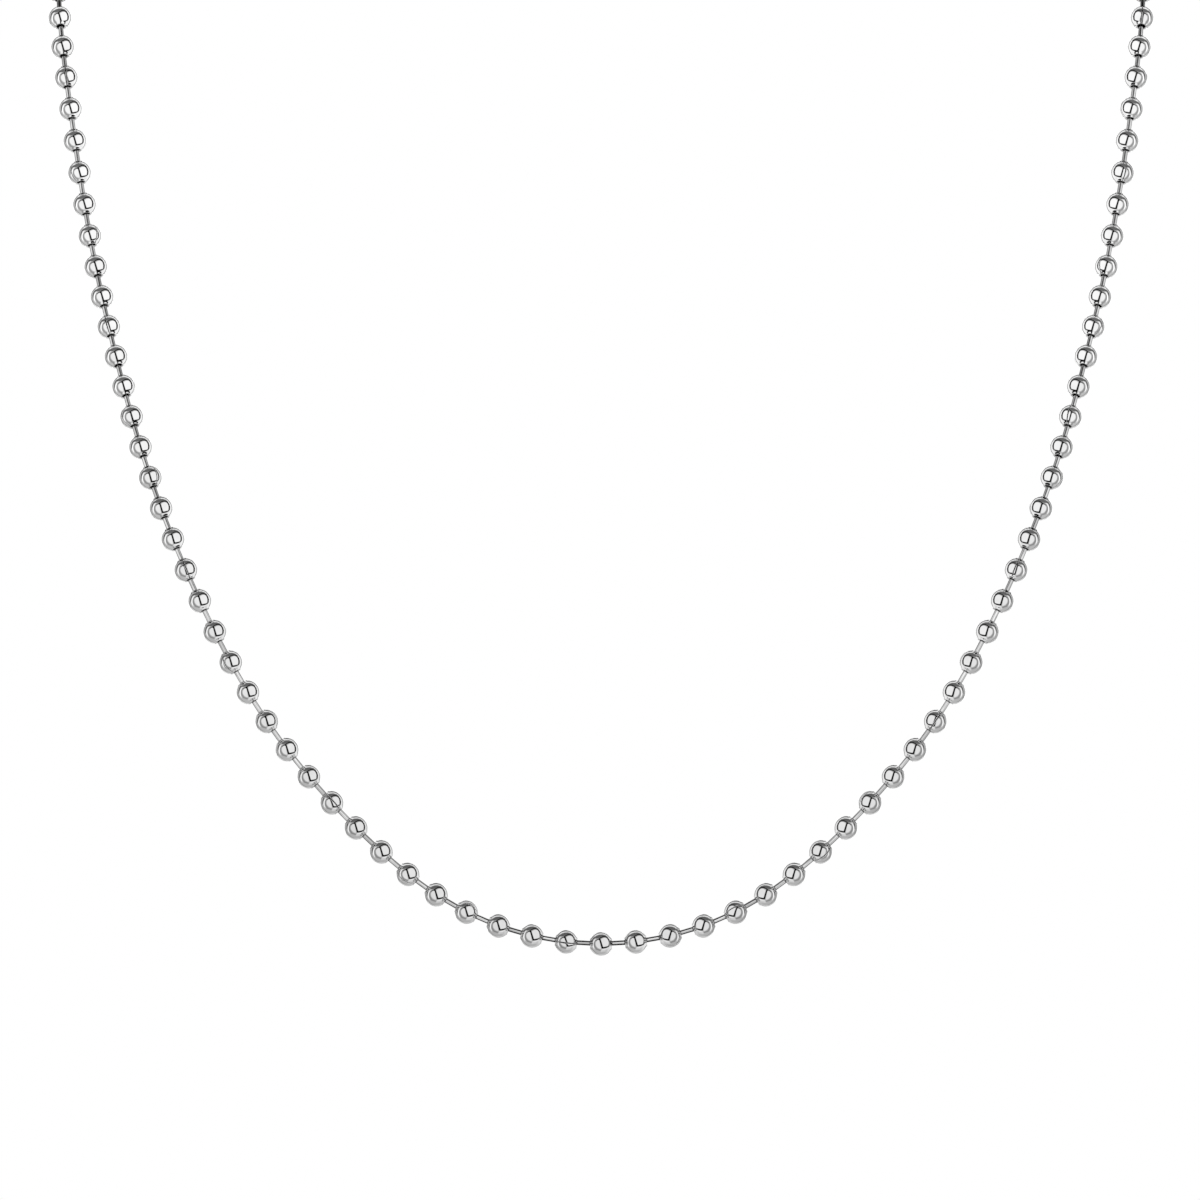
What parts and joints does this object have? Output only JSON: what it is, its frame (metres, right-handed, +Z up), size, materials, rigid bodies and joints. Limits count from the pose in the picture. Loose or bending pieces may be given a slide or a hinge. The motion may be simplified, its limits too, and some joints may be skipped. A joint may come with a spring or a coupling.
{
  "type": "ball chain necklace",
  "caption": "Round-ball chain necklace: hollow steel balls joined by short dumbbell bars into a closed loop, held at the nape by a plain sleeve clasp. Hangs round a neck.",
  "frame": {"origin": "where the clasp rests on the nape: on the clasp's neck side, at its middle height and length", "axes": "+Z up, -Y towards the wearer's front, +X towards the wearer's left, which is the right of a front view"},
  "size_m": [0.1504, 0.1016, 0.1496],
  "materials": {
    "polished_steel": "mirror-polished stainless steel shells",
    "bright_wire": "bright drawn steel wire",
    "clasp_steel": "polished pressed steel"
  },
  "bodies": {
    "root": {"balls": "polished_steel", "links": "bright_wire", "clasp": "clasp_steel"}
  },
  "joints": []
}
